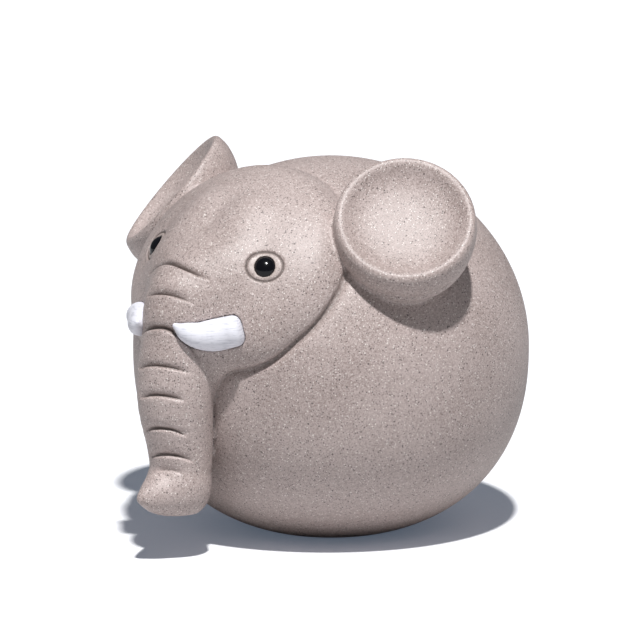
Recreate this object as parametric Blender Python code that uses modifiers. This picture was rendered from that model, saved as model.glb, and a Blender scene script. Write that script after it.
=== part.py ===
"""A clay elephant figurine for a tea tray: one fired clay body with two tusks and two bead eyes.

The elephant stands on the flat of its belly, which is the origin. It faces -Y, its left is +X
and +Z is up. All sizes are in metres.
"""
import math

import bmesh
import bpy
from mathutils import Matrix, Vector
from mathutils.bvhtree import BVHTree

# Body: a ball turned a little wider than it is high, fuller below its widest ring
BODY_RADIUS = 0.0377
BODY_HALF_HEIGHT = 0.0361
BODY_CENTRE_HEIGHT = 0.0346
BODY_FULLNESS_ABOVE = 2.0
BODY_FULLNESS_BELOW = 2.3
BODY_PROFILE_ROWS = 48
BODY_PROFILE_STEPS = 96
BODY_BELOW_BASE = 0.0001
TRIMMED_BELOW_BASE = 0.2

# The figure is hollow, as thick clay cracks in the kiln, and vents through its base
WALL = 0.0045
HOLLOW_ROWS = 18
HOLLOW_STEPS = 28
VENT_RADIUS = 0.0025
VENT_BEHIND_CENTRE = 0.0085
VENT_SIDES = 24
VENT_CUT_LENGTH = 4 * WALL

# Head: a dome on the front of the body, looking up a little, trimmed to a round edge;
# half sizes run across, up along the face and out along the way it looks
HEAD_TILT = math.radians(36.0)
HEAD_OUT = 0.0177
HEAD_ASIDE = -0.0006
HEAD_BELOW_AXIS = 0.0007
DOME_HALF_SIZE = Vector((0.0300, 0.0280, 0.0243))
HEAD_EDGE = (0.0253, 0.0236)
HEAD_EDGE_DEPTH = 0.0120
CHEEK_OFFSET = 0.0090
CHEEK_CENTRE = Vector((0.0, -0.0295, 0.0414))
CHEEK_HALF_SIZE = Vector((0.0083, 0.0083, 0.0074))

# Muzzle: from the cheeks up to the brow on both sides of the trunk, so that the eyes lie
# just round the corner from the front of the face
MUZZLE_LINE = (
    ((0.0075, -0.0320, 0.0470), 0.0068),
    ((0.0057, -0.0328, 0.0535), 0.0061),
    ((0.0045, -0.0262, 0.0608), 0.0048),
)
MUZZLE_ASIDE = Vector((-0.0003, 0.0, 0.0))

# Trunk: centre line from the brow to the kicked-out tip, with the radius at each point
TRUNK_LINE = (
    ((0.0, -0.0352, 0.0544), 0.0046),
    ((0.0, -0.0390, 0.0485), 0.0076),
    ((0.0, -0.0408, 0.0410), 0.0074),
    ((0.0, -0.0420, 0.0310), 0.0074),
    ((0.0, -0.0410, 0.0220), 0.0064),
    ((0.0, -0.0408, 0.0172), 0.0060),
    ((0.0, -0.0426, 0.0138), 0.0058),
    ((0.0, -0.0464, 0.0130), 0.0044),
)
TRUNK_HEEL = ((0.0, -0.0410, 0.0134), 0.0057)

# Ears: dished rounds, thick behind and sagging towards the bottom, set on the shoulders;
# each was placed by hand
EAR_DEPTH = 0.0120
EAR_FULLNESS = 2.6
EAR_SAG = 0.20
EAR_LIP_DROP = 0.0012
EAR_LIP = 0.0010
EAR_DISH = 0.0036
EAR_LIP_ROWS = 4
EAR_ROWS = 14
EAR_STEPS = 72
EAR_AZIMUTH = math.radians(44.0)
EARS = {
    "left": {"centre": (0.0308, -0.0130, 0.0642), "radius": 0.0133, "rise": math.radians(37.5)},
    "right": {"centre": (-0.0311, -0.0123, 0.0633), "radius": 0.0138, "rise": math.radians(41.0)},
}

# How finely the clay is shaped and worked, and how far its joins are smoothed over; a tube
# has steps round each quarter and between the points of its line
BALL_SEGMENTS = 96
BALL_RINGS = 48
TRUNK_TUBE_STEPS = (7, 8)
WRINKLE_TUBE_STEPS = (1, 1)
TUSK_TUBE_STEPS = (3, 2)
FACE_GRAIN = 0.0008
FACE_SMOOTHING = 28
BODY_GRAIN = 0.0007
BODY_SMOOTHING = 3
CLAY_TRIANGLES = 8300

# Welds take up only the rounding of the numbers, never a feature
WELD = 0.00001

# Far enough out to meet the clay from any side
CASTING_REACH = 0.1

# Wrinkles pressed across the front of the trunk: height at the front, half the angle that
# each takes round the trunk, and how far its ends droop; the ends lift out of the clay by
# a few times the radius of the line
WRINKLE_LINE_RADIUS = 0.00045
WRINKLE_BITE = 0.00012
WRINKLE_END_LIFT = 2.2
WRINKLE_POINTS = 11
WRINKLE_MIDDLE = math.radians(8.0)
WRINKLES = (
    (0.0556, math.radians(62), 0.0052),
    (0.0506, math.radians(44), 0.0013),
    (0.0442, math.radians(80), 0.0075),
    (0.0374, math.radians(62), 0.0013),
    (0.0316, math.radians(57), 0.0010),
    (0.0254, math.radians(57), 0.0011),
    (0.0200, math.radians(60), 0.0009),
    (0.0174, math.radians(42), 0.0005),
)

# Eyes: glossy black beads in round sockets, each inside a pressed oval line
EYE_PLACES = {"left": (0.0141, 0.0557), "right": (-0.0140, 0.0564)}
BEAD_RADIUS = 0.0021
BEAD_HALF_DEPTH = 0.0015
BEAD_SINK = 0.00065
GAP = 0.0003
EYE_LINE_HALF_WIDTH = 0.0035
EYE_LINE_HALF_HEIGHT = 0.0029
EYE_LINE_RADIUS = 0.00042
EYE_LINE_SINK = 0.00010
EYE_LINE_POINTS = 20
RING_ROUND_STEPS = 2
BEAD_SEGMENTS = 16
BEAD_RINGS = 9

# Tusks: cut off flat at the root on the cheek, pointed beside the trunk, sunk in the clay to
# nearly half their thickness; each was laid on by hand
TUSK_LINES = {
    "left": (
        ((0.0044, -0.0465, 0.0452), 0.0005),
        ((0.0052, -0.0456, 0.0444), 0.0012),
        ((0.0060, -0.0447, 0.0438), 0.0019),
        ((0.0073, -0.0430, 0.0432), 0.0025),
        ((0.0088, -0.0409, 0.0432), 0.0030),
        ((0.0106, -0.0393, 0.0437), 0.0030),
        ((0.0122, -0.0384, 0.0442), 0.0029),
        ((0.0134, -0.0378, 0.0446), 0.0025),
    ),
    "right": (
        ((-0.0050, -0.0470, 0.0446), 0.0005),
        ((-0.0058, -0.0462, 0.0440), 0.0012),
        ((-0.0067, -0.0450, 0.0437), 0.0018),
        ((-0.0079, -0.0434, 0.0436), 0.0023),
        ((-0.0093, -0.0416, 0.0438), 0.0026),
        ((-0.0110, -0.0400, 0.0440), 0.0026),
        ((-0.0126, -0.0390, 0.0441), 0.0025),
        ((-0.0138, -0.0384, 0.0442), 0.0022),
    ),
}


def clear_scene():
    for old in list(bpy.data.objects):
        bpy.data.objects.remove(old)


def new_collection(name):
    collection = bpy.data.collections.new(name)
    bpy.context.scene.collection.children.link(collection)
    return collection


def material(name, colour, roughness):
    made = bpy.data.materials.new(name)
    made.use_nodes = True
    shader = made.node_tree.nodes["Principled BSDF"]
    shader.inputs["Base Color"].default_value = (*colour, 1.0)
    shader.inputs["Roughness"].default_value = roughness
    shader.inputs["Metallic"].default_value = 0.0
    return made


def add_object(name, mesh, collection):
    made = bpy.data.objects.new(name, mesh)
    collection.objects.link(made)
    return made


def head_frame():
    """The head's own directions: across, up along the face, and the way it looks."""
    across = Vector((1.0, 0.0, 0.0))
    along = Vector((0.0, math.sin(HEAD_TILT), math.cos(HEAD_TILT)))
    look = across.cross(along)
    turn = Matrix((across, along, look)).transposed().to_4x4()
    middle = Vector((HEAD_ASIDE, 0.0, BODY_CENTRE_HEIGHT))
    middle += look * HEAD_OUT - along * HEAD_BELOW_AXIS
    return Matrix.Translation(middle) @ turn


def hide_cutter(cutter):
    cutter.hide_render = True
    cutter.display_type = "WIRE"
    return cutter


def add_cutter(name, mesh):
    return hide_cutter(add_object(name, mesh, cutters))


def mesh_from(build):
    """A mesh from a function that fills a bmesh."""
    shape = bmesh.new()
    build(shape)
    mesh = bpy.data.meshes.new("shape")
    shape.to_mesh(mesh)
    shape.free()
    return mesh


def baked(source):
    """The evaluated mesh of an object, in world space; the object itself is removed."""
    depsgraph = bpy.context.evaluated_depsgraph_get()
    mesh = bpy.data.meshes.new_from_object(source.evaluated_get(depsgraph))
    mesh.transform(source.matrix_world)
    bpy.data.objects.remove(source)
    return mesh


def welded(mesh):
    """The same mesh with its loose caps closed onto their tube."""
    shape = bmesh.new()
    shape.from_mesh(mesh)
    bmesh.ops.remove_doubles(shape, verts=shape.verts, dist=WELD)
    bmesh.ops.recalc_face_normals(shape, faces=shape.faces)
    shape.to_mesh(mesh)
    shape.free()
    return mesh


def ellipsoid(centre, half_size, segments=BALL_SEGMENTS, rings=BALL_RINGS):
    """A sphere stretched to three half sizes."""
    place = Matrix.Translation(centre) @ Matrix.Diagonal((*half_size, 1.0))
    return mesh_from(lambda shape: bmesh.ops.create_uvsphere(
        shape, u_segments=segments, v_segments=rings, radius=1.0, matrix=place))


def turned(points, steps):
    """A closed solid turned about Z from a profile of (radius, height), top to bottom."""
    mesh = bpy.data.meshes.new("profile")
    edges = [(index, index + 1) for index in range(len(points) - 1)]
    mesh.from_pydata([(radius, 0.0, height) for radius, height in points], edges, [])
    turning = add_object("turning", mesh, cutters)
    screw = turning.modifiers.new("Screw", "SCREW")
    screw.axis = "Z"
    screw.steps = steps
    screw.render_steps = steps
    screw.use_merge_vertices = True
    screw.merge_threshold = WELD
    screw.use_smooth_shade = True
    bpy.context.view_layer.update()
    return baked(turning)


def tube(line, round_steps, length_steps):
    """A round tube along a smooth line of (point, radius), closed at both ends."""
    curve = bpy.data.curves.new("line", "CURVE")
    curve.dimensions = "3D"
    curve.bevel_depth = 1.0
    curve.bevel_resolution = round_steps
    curve.use_fill_caps = True
    curve.resolution_u = length_steps
    spline = curve.splines.new("BEZIER")
    spline.radius_interpolation = "BSPLINE"
    spline.bezier_points.add(len(line) - 1)
    for knot, (place, radius) in zip(spline.bezier_points, line):
        knot.co = place
        knot.radius = radius
        knot.handle_left_type = "AUTO"
        knot.handle_right_type = "AUTO"
    drawn = add_object("tube", curve, cutters)
    bpy.context.view_layer.update()
    return welded(baked(drawn))


def joined(name, meshes, collection):
    """One object from several meshes, which still stand as separate shells."""
    shape = bmesh.new()
    for mesh in meshes:
        shape.from_mesh(mesh)
    mesh = bpy.data.meshes.new(name)
    shape.to_mesh(mesh)
    shape.free()
    return add_object(name, mesh, collection)


def work_together(worked, grain, smoothing):
    """Fuse the shells of an object and smooth the joins, as wet clay is."""
    remesh = worked.modifiers.new("Fuse", "REMESH")
    remesh.mode = "VOXEL"
    remesh.voxel_size = grain
    remesh.use_smooth_shade = True
    smooth = worked.modifiers.new("Smooth", "SMOOTH")
    smooth.factor = 0.5
    smooth.iterations = smoothing
    bpy.context.view_layer.update()


def thinned(mesh, triangles):
    """The same form in fewer, well placed triangles."""
    holder = add_object("thinning", mesh, cutters)
    thin = holder.modifiers.new("Thin", "DECIMATE")
    thin.ratio = triangles / sum(len(face.vertices) - 2 for face in mesh.polygons)
    thin.use_collapse_triangulate = True
    bpy.context.view_layer.update()
    return baked(holder)


def cut(target, cutter, name):
    boolean = target.modifiers.new(name, "BOOLEAN")
    boolean.operation = "DIFFERENCE"
    boolean.solver = "EXACT"
    boolean.object = cutter


def ball_profile(radius, half_height, floor, rows):
    """Outline of the body from its top to the flat at the given height."""
    points = [(0.0, BODY_CENTRE_HEIGHT + half_height)]
    for row in range(1, rows):
        angle = math.pi / 2 - math.pi * row / rows
        fullness = BODY_FULLNESS_ABOVE if angle > 0 else BODY_FULLNESS_BELOW
        out = radius * math.cos(angle) ** (2 / fullness)
        up = half_height * abs(math.sin(angle)) ** (2 / fullness)
        height = BODY_CENTRE_HEIGHT + math.copysign(up, angle)
        if height <= floor:
            break
        points.append((out, height))
    depth = (BODY_CENTRE_HEIGHT - floor) / half_height
    if depth < 1.0:
        flat = radius * (1 - depth ** BODY_FULLNESS_BELOW) ** (1 / BODY_FULLNESS_BELOW)
        points.append((flat, floor))
    points.append((0.0, max(floor, BODY_CENTRE_HEIGHT - half_height)))
    return points


def upright_turn(facing):
    """A turn that takes Z to the facing and keeps Y as nearly up as it can be."""
    across = Vector((0.0, 0.0, 1.0)).cross(facing).normalized()
    upwards = facing.cross(across)
    return Matrix((across, upwards, facing)).transposed().to_4x4()


def ear_profile(radius):
    """Outline of one ear from the middle of its dish, over the lip and down its back."""
    mouth = radius - EAR_LIP
    bowl = (mouth * mouth + EAR_DISH * EAR_DISH) / (2 * EAR_DISH)
    opening = math.asin(mouth / bowl)
    points = []
    for row in range(EAR_ROWS + 1):
        angle = opening * row / EAR_ROWS
        points.append((bowl * math.sin(angle), bowl - EAR_DISH - bowl * math.cos(angle)))
    for row in range(1, EAR_LIP_ROWS):
        angle = math.pi / 2 * row / EAR_LIP_ROWS
        points.append((mouth + EAR_LIP * math.sin(angle), EAR_LIP_DROP * (math.cos(angle) - 1)))
    for row in range(EAR_ROWS + 1):
        angle = math.pi / 2 * row / EAR_ROWS
        out = radius * math.cos(angle) ** (2 / EAR_FULLNESS)
        down = EAR_DEPTH * math.sin(angle) ** (2 / EAR_FULLNESS)
        points.append((out, -EAR_LIP_DROP - down))
    points[-1] = (0.0, points[-1][1])
    return points


def ear(centre, radius, rise, side):
    """One dished ear, facing forwards, outwards and up."""
    facing = Vector((
        side * math.sin(EAR_AZIMUTH) * math.cos(rise),
        -math.cos(EAR_AZIMUTH) * math.cos(rise),
        math.sin(rise),
    ))
    sag = Matrix.Identity(4)
    sag[1][2] = EAR_SAG
    mesh = turned(ear_profile(radius), EAR_STEPS)
    mesh.transform(Matrix.Translation(centre) @ upright_turn(facing) @ sag)
    return mesh


def head_mesh():
    """The dome of the head, trimmed by an oval drum that leans with it."""
    frame = head_frame()
    dome = ellipsoid(Vector(), DOME_HALF_SIZE)
    dome.transform(frame)
    head = add_object("head", dome, cutters)
    drum_length = 2 * (DOME_HALF_SIZE.z + HEAD_EDGE_DEPTH)
    drum_middle = Vector((0.0, 0.0, drum_length / 2 - HEAD_EDGE_DEPTH))
    oval = Matrix.Diagonal((*HEAD_EDGE, 1.0, 1.0))
    drum = mesh_from(lambda shape: bmesh.ops.create_cone(
        shape, cap_ends=True, segments=BALL_SEGMENTS, radius1=1.0, radius2=1.0,
        depth=drum_length,
        matrix=frame @ Matrix.Translation(drum_middle) @ oval))
    trim = head.modifiers.new("Round edge", "BOOLEAN")
    trim.operation = "INTERSECT"
    trim.object = add_cutter("head_drum", drum)
    bpy.context.view_layer.update()
    return baked(head)


def face_mesh():
    """Head, cheeks, muzzle and trunk, worked into one soft form."""
    shells = [head_mesh(), tube(TRUNK_LINE, *TRUNK_TUBE_STEPS)]
    for place, radius in (TRUNK_LINE[0], TRUNK_LINE[-1], TRUNK_HEEL):
        shells.append(ellipsoid(Vector(place), Vector((radius, radius, radius))))
    for side in (-1, 1):
        offset = Vector((side * CHEEK_OFFSET, 0.0, 0.0))
        shells.append(ellipsoid(CHEEK_CENTRE + offset, CHEEK_HALF_SIZE))
        muzzle = []
        for (x, y, z), radius in MUZZLE_LINE:
            muzzle.append((Vector((side * x, y, z)) + MUZZLE_ASIDE, radius))
            shells.append(ellipsoid(muzzle[-1][0], Vector((radius, radius, radius))))
        shells.append(tube(muzzle, *TRUNK_TUBE_STEPS))
    face = joined("face", shells, cutters)
    work_together(face, FACE_GRAIN, FACE_SMOOTHING)
    return baked(face)


def clay_mesh():
    """Body, face and ears as one skin of clay, before anything is pressed into it."""
    profile = ball_profile(BODY_RADIUS, BODY_HALF_HEIGHT, -BODY_BELOW_BASE, BODY_PROFILE_ROWS)
    shells = [turned(profile, BODY_PROFILE_STEPS), face_mesh()]
    for side, name in ((1, "left"), (-1, "right")):
        placed = EARS[name]
        shells.append(ear(Vector(placed["centre"]), placed["radius"], placed["rise"], side))
    clay = joined("clay", shells, cutters)
    work_together(clay, BODY_GRAIN, BODY_SMOOTHING)
    return baked(clay)


def front_of(skin, across, height):
    """Where the clay is met from the front, and the way its surface faces there."""
    start = Vector((across, -CASTING_REACH, height))
    place, facing, _, _ = skin.ray_cast(start, Vector((0.0, 1.0, 0.0)))
    return place, facing


def trunk_axis(height):
    """The trunk's centre line at a height, held at its upper end above that."""
    for (upper, _), (lower, _) in zip(TRUNK_LINE, TRUNK_LINE[1:]):
        if lower[2] <= height:
            share = min(1.0, (height - lower[2]) / (upper[2] - lower[2]))
            return Vector((0.0, lower[1] + share * (upper[1] - lower[1]), height))
    return Vector((*TRUNK_LINE[-1][0][:2], height))


def wrinkle_line(skin, height, half_angle, droop):
    """A pressed line over the front of the trunk that comes out of the clay at both ends."""
    line = []
    for index in range(WRINKLE_POINTS):
        share = 2 * index / (WRINKLE_POINTS - 1) - 1
        angle = WRINKLE_MIDDLE + share * half_angle
        outwards = Vector((math.sin(angle), -math.cos(angle), 0.0))
        start = trunk_axis(height) + outwards * CASTING_REACH
        start.z -= droop * abs(share) ** 3
        place, facing, _, _ = skin.ray_cast(start, -outwards)
        lift = WRINKLE_END_LIFT * WRINKLE_LINE_RADIUS * share ** 6 - WRINKLE_BITE
        line.append((place + facing * lift, WRINKLE_LINE_RADIUS))
    return tube(line, *WRINKLE_TUBE_STEPS)


def eye_line(place, facing):
    """The oval ring pressed round an eye."""
    loop = []
    turn = Matrix.Translation(place - facing * EYE_LINE_SINK) @ upright_turn(facing)
    for index in range(EYE_LINE_POINTS):
        angle = math.tau * index / EYE_LINE_POINTS
        flat = Vector((
            EYE_LINE_HALF_WIDTH * math.cos(angle),
            EYE_LINE_HALF_HEIGHT * math.sin(angle),
            0.0,
        ))
        loop.append(turn @ flat)
    return loop


def ring(loop, radius):
    """A closed tube round a loop of points."""
    curve = bpy.data.curves.new("ring", "CURVE")
    curve.dimensions = "3D"
    curve.bevel_depth = radius
    curve.bevel_resolution = RING_ROUND_STEPS
    spline = curve.splines.new("POLY")
    spline.points.add(len(loop) - 1)
    for knot, place in zip(spline.points, loop):
        knot.co = (*place, 1.0)
    spline.use_cyclic_u = True
    drawn = add_object("ring", curve, cutters)
    bpy.context.view_layer.update()
    return welded(baked(drawn))


def bead_mesh(place, facing, grown):
    """A flattened bead that lies square to the clay around it."""
    half_size = Vector((BEAD_RADIUS, BEAD_RADIUS, BEAD_HALF_DEPTH)) + Vector((grown,) * 3)
    mesh = ellipsoid(Vector((0.0, 0.0, -BEAD_SINK)), half_size, BEAD_SEGMENTS, BEAD_RINGS)
    mesh.transform(Matrix.Translation(place) @ upright_turn(facing))
    return mesh


def tusk_mesh(tusk_line, grown):
    """One tusk, or its bed, which is the tusk grown on every side and past both its ends."""
    line = [(Vector(place), radius + grown) for place, radius in tusk_line]
    for end, inner in ((0, 1), (-1, -2)):
        outwards = (line[end][0] - line[inner][0]).normalized()
        line[end] = (line[end][0] + outwards * grown, line[end][1])
    return tube(line, *TUSK_TUBE_STEPS)


clear_scene()
parts = new_collection("clay elephant")
cutters = new_collection("cutters")

# Clay body, with the wrinkles and the ovals round the eyes pressed in while it is soft
soft = add_object("soft_clay", clay_mesh(), cutters)
skin = BVHTree.FromObject(soft, bpy.context.evaluated_depsgraph_get())
eyes = {name: front_of(skin, *place) for name, place in EYE_PLACES.items()}
pressed = [wrinkle_line(skin, *wrinkle) for wrinkle in WRINKLES]
pressed += [ring(eye_line(*eye), EYE_LINE_RADIUS) for eye in eyes.values()]
press = joined("pressed_lines", pressed, cutters)
cut(soft, press, "Press")
bpy.context.view_layer.update()
clay = add_object("clay_body", thinned(baked(soft), CLAY_TRIANGLES), parts)
clay.data.materials.clear()
clay.data.materials.append(material("fired clay", (0.36, 0.29, 0.25), 0.75))
hide_cutter(press)

# Base, hollow and vent
floor_cutter = add_cutter("below_the_base", mesh_from(
    lambda shape: bmesh.ops.create_cube(
        shape, size=TRIMMED_BELOW_BASE,
        matrix=Matrix.Translation((0.0, 0.0, -TRIMMED_BELOW_BASE / 2)))))
cut(clay, floor_cutter, "Flat base")

hollow_profile = ball_profile(
    BODY_RADIUS - WALL, BODY_HALF_HEIGHT - WALL, 0.0, HOLLOW_ROWS)
cut(clay, add_cutter("hollow", turned(hollow_profile, HOLLOW_STEPS)), "Hollow")

vent = add_cutter("vent", mesh_from(
    lambda shape: bmesh.ops.create_cone(
        shape, cap_ends=True, segments=VENT_SIDES, radius1=VENT_RADIUS, radius2=VENT_RADIUS,
        depth=VENT_CUT_LENGTH, matrix=Matrix.Translation((0.0, VENT_BEHIND_CENTRE, 0.0)))))
cut(clay, vent, "Vent")

# Eyes
bead_finish = material("black bead", (0.01, 0.01, 0.01), 0.08)
for name, eye in eyes.items():
    cut(clay, add_cutter(f"socket_{name}", bead_mesh(*eye, GAP)), f"Socket {name}")
    bead = add_object(f"eye_bead_{name}", bead_mesh(*eye, 0.0), parts)
    bead.data.materials.append(bead_finish.copy())
    bead.data.shade_smooth()

# Tusks
tusk_finish = material("white slip", (0.80, 0.80, 0.82), 0.55)
for name, tusk_line in TUSK_LINES.items():
    bed = tusk_mesh(tusk_line, GAP)
    cut(clay, add_cutter(f"tusk_bed_{name}", bed), f"Tusk bed {name}")
    tusk = add_object(f"tusk_{name}", tusk_mesh(tusk_line, 0.0), parts)
    tusk.data.materials.append(tusk_finish.copy())
    tusk.data.shade_smooth()
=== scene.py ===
"""A round clay elephant for a tea tray, with dished ears, white tusks and black bead eyes.

It stands on the flat of its belly, faces -Y, and is seen from its left front.
"""
import math

import bmesh
import bpy
import numpy as np
from mathutils import Matrix, Vector
from mathutils.kdtree import KDTree


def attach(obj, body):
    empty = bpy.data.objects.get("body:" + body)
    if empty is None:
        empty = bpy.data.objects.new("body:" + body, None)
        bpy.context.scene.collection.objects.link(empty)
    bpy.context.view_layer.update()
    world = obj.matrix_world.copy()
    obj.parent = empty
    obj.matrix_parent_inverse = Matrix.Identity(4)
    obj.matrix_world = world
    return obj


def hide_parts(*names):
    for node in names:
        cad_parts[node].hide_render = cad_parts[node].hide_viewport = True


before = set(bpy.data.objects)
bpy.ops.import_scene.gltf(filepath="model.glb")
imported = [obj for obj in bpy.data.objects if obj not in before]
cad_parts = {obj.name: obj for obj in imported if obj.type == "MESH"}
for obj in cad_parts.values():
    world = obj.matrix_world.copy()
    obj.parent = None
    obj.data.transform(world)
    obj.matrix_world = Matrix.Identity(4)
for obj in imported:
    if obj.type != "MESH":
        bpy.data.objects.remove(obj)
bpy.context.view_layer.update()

scene = bpy.context.scene
MM = 0.001

# Camera: a long lens a little above the tray, on the elephant's left front; the picture is
# square, and the body's centre lies a little right of and below its middle.
CAMERA_AZIMUTH = math.radians(43.5)
CAMERA_ELEVATION = math.radians(10.5)
CAMERA_DISTANCE = 1.2
CAMERA_LENS = 354.375
CAMERA_SENSOR = 36.0
BODY_CENTRE = Vector((0.0, 0.0, 34.6)) * MM
BODY_CENTRE_IN_PICTURE = (2.095 * MM, -4.762 * MM)


def facing_camera(azimuth, elevation):
    """The direction from the object towards a place at this azimuth and elevation."""
    return Vector((
        math.sin(azimuth) * math.cos(elevation),
        -math.cos(azimuth) * math.cos(elevation),
        math.sin(elevation),
    ))


camera = bpy.data.objects.new("camera", bpy.data.cameras.new("camera"))
scene.collection.objects.link(camera)
scene.camera = camera
camera.data.lens = CAMERA_LENS
camera.data.sensor_width = CAMERA_SENSOR
back = facing_camera(CAMERA_AZIMUTH, CAMERA_ELEVATION)
right = Vector((math.cos(CAMERA_AZIMUTH), math.sin(CAMERA_AZIMUTH), 0.0))
up = back.cross(right)
eye = BODY_CENTRE + back * CAMERA_DISTANCE
eye -= right * BODY_CENTRE_IN_PICTURE[0] + up * BODY_CENTRE_IN_PICTURE[1]
camera.matrix_world = Matrix.Translation(eye) @ Matrix((right, up, back)).transposed().to_4x4()

# Sheet and light: one small lamp stands high on the camera's side, and the room fills the
# shadows with a cool grey. The white sheet glows faintly, so that it stays nearly white to the
# eye and yet throws little light back up under the figure.
SHEET_SIZE = 4.0
SHEET_HEIGHT = -0.05 * MM
SHEET_COLOUR = (0.86, 0.865, 0.88)
SHEET_COLOUR_IN_LIGHT = (0.62, 0.62, 0.63)
SHEET_ROUGHNESS = 0.9
SHEET_GLOW = 0.13
SHEET_GLOW_COLOUR = (0.62, 0.76, 1.0)
LAMP_AZIMUTH = math.radians(50.0)
LAMP_ELEVATION = math.radians(64.5)
LAMP_STRENGTH = 4.1
LAMP_WIDTH = math.radians(3.0)
LAMP_COLOUR = (1.0, 0.99, 0.985)
ROOM_STRENGTH = 0.10
ROOM_COLOUR = (0.86, 0.92, 1.0)


def node_maker(tree):
    """A function that adds a node with its settings and its inputs: values, or links."""
    def add(kind, settings=None, **inputs):
        node = tree.nodes.new(kind)
        for name, value in (settings or {}).items():
            setattr(node, name, value)
        for name, value in inputs.items():
            socket = node.inputs[int(name[1:]) if name[0] == "_" else name.replace("_", " ")]
            if isinstance(value, bpy.types.NodeSocket):
                tree.links.new(value, socket)
            else:
                socket.default_value = value
        return node
    return add


def new_material(name):
    """A material with its Principled shader, and the function that adds nodes to it."""
    made = bpy.data.materials.new(name)
    made.use_nodes = True
    return made, made.node_tree.nodes["Principled BSDF"], node_maker(made.node_tree)


sheet_mesh = bpy.data.meshes.new("white_sheet")
half = SHEET_SIZE / 2
sheet_mesh.from_pydata(
    [(x, y, SHEET_HEIGHT) for x, y in ((-half, -half), (half, -half), (half, half), (-half, half))],
    [], [(0, 1, 2, 3)])
sheet = bpy.data.objects.new("white_sheet", sheet_mesh)
scene.collection.objects.link(sheet)
paper, shader, add = new_material("white paper")
shader.inputs["Roughness"].default_value = SHEET_ROUGHNESS
shader.inputs["Specular IOR Level"].default_value = 0.0
shader.inputs["Emission Color"].default_value = (*SHEET_GLOW_COLOUR, 1.0)
seen = add("ShaderNodeLightPath").outputs["Is Camera Ray"]
tint = add("ShaderNodeMix", {"data_type": "RGBA"}, _0=seen, _6=(*SHEET_COLOUR_IN_LIGHT, 1.0),
           _7=(*SHEET_COLOUR, 1.0))
paper.node_tree.links.new(tint.outputs[2], shader.inputs["Base Color"])
glow = add("ShaderNodeMath", {"operation": "MULTIPLY"}, _0=seen, _1=SHEET_GLOW)
paper.node_tree.links.new(glow.outputs[0], shader.inputs["Emission Strength"])
sheet_mesh.materials.append(paper)

lamp = bpy.data.objects.new("lamp", bpy.data.lights.new("lamp", "SUN"))
scene.collection.objects.link(lamp)
lamp.data.energy = LAMP_STRENGTH
lamp.data.angle = LAMP_WIDTH
lamp.data.color = LAMP_COLOUR
lamp.rotation_mode = "QUATERNION"
towards_lamp = facing_camera(LAMP_AZIMUTH, LAMP_ELEVATION)
lamp.rotation_quaternion = (-towards_lamp).to_track_quat("-Z", "Y")

room = bpy.data.worlds.new("room")
scene.world = room
room.use_nodes = True
add = node_maker(room.node_tree)
seen = add("ShaderNodeLightPath").outputs["Is Camera Ray"]
level = add("ShaderNodeMapRange", Value=seen, To_Min=ROOM_STRENGTH, To_Max=1.0)
tint = add("ShaderNodeMix", {"data_type": "RGBA"}, _0=seen, _6=(*ROOM_COLOUR, 1.0),
           _7=(1.0, 1.0, 1.0, 1.0))
air = room.node_tree.nodes["Background"]
room.node_tree.links.new(tint.outputs[2], air.inputs["Color"])
room.node_tree.links.new(level.outputs[0], air.inputs["Strength"])
scene.view_settings.view_transform = "Standard"

# Clay body: a hollow ball of groggy clay with the head, the trunk and the ears worked onto
# it while wet. The form is described in millimetres as solids that run into each other,
# softly where a thumb smoothed the join and tightly where a tool did.
BODY_RADIUS = 37.7
BODY_HALF_HEIGHT = 36.1
BODY_CENTRE_HEIGHT = 34.6
BODY_FULLNESS = {"above": 2.0, "below": 2.3}
WALL = 4.5
VENT_RADIUS = 2.5
VENT_BEHIND_CENTRE = 8.5
HEAD_TILT = math.radians(36.0)
HEAD_PLACE = {"aside": -0.6, "along": -0.7, "out": 17.7}
DOME_HALF_SIZE = (30.0, 28.0, 24.3)
HEAD_EDGE_HALF_SIZE = {"above": (25.3, 23.6), "below": (25.3, 21.8)}
HEAD_EDGE_SOFTNESS = 3.6
HEAD_JOIN_SOFTNESS = 0.5
TRUNK_JOIN_SOFTNESS = 0.8
CHEEK_CENTRE = (9.0, -29.5, 42.4)
CHEEK_HALF_SIZE = (8.3, 8.3, 6.6)
CHEEK_SOFTNESS = 4.0
MUZZLE_LINE = (
    ((7.5, -32.0, 47.0), 6.4),
    ((5.7, -32.9, 53.5), 5.8),
    ((4.5, -26.2, 61.0), 4.4),
)
MUZZLE_ASIDE = -0.3
MUZZLE_SOFTNESS = 4.0
TRUNK_SOFTNESS = 5.0
TRUNK_LINE = (
    ((0.0, -35.2, 54.4), 4.6),
    ((0.0, -39.0, 48.5), 7.4),
    ((0.0, -40.8, 41.0), 7.2),
    ((0.0, -42.0, 31.0), 7.2),
    ((0.0, -41.0, 22.0), 6.2),
    ((0.0, -40.8, 17.2), 5.8),
    ((0.0, -42.2, 13.9), 5.5),
    ((-0.2, -46.0, 12.7), 3.8),
    ((-0.6, -49.8, 12.4), 1.4),
)
TRUNK_HEEL = ((0.0, -41.1, 13.4), 6.0)
TRUNK_HEEL_SOFTNESS = 1.0
TRUNK_UNDERSIDE = 8.5
TRUNK_RIM_SOFTNESS = 0.25
TRUNK_STEPS = 5
EAR_AZIMUTH = math.radians(44.0)
EARS = {
    "left": {
        "side": 1, "centre": (31.0, -12.8, 64.6), "radius": 13.4, "rise": math.radians(37.5)},
    "right": {
        "side": -1, "centre": (-31.1, -12.3, 63.3), "radius": 14.0, "rise": math.radians(41.0)},
}
EAR_DEPTH = 12.0
EAR_FULLNESS = 2.6
EAR_SAG = 0.20
EAR_LIP = 2.4
EAR_LIP_DROP = 1.2
EAR_LIP_RISE = 0.6
EAR_LIP_SOFTNESS = 1.9
EAR_DISH = 3.4
EAR_DISH_FULLNESS = 2.5
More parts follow.
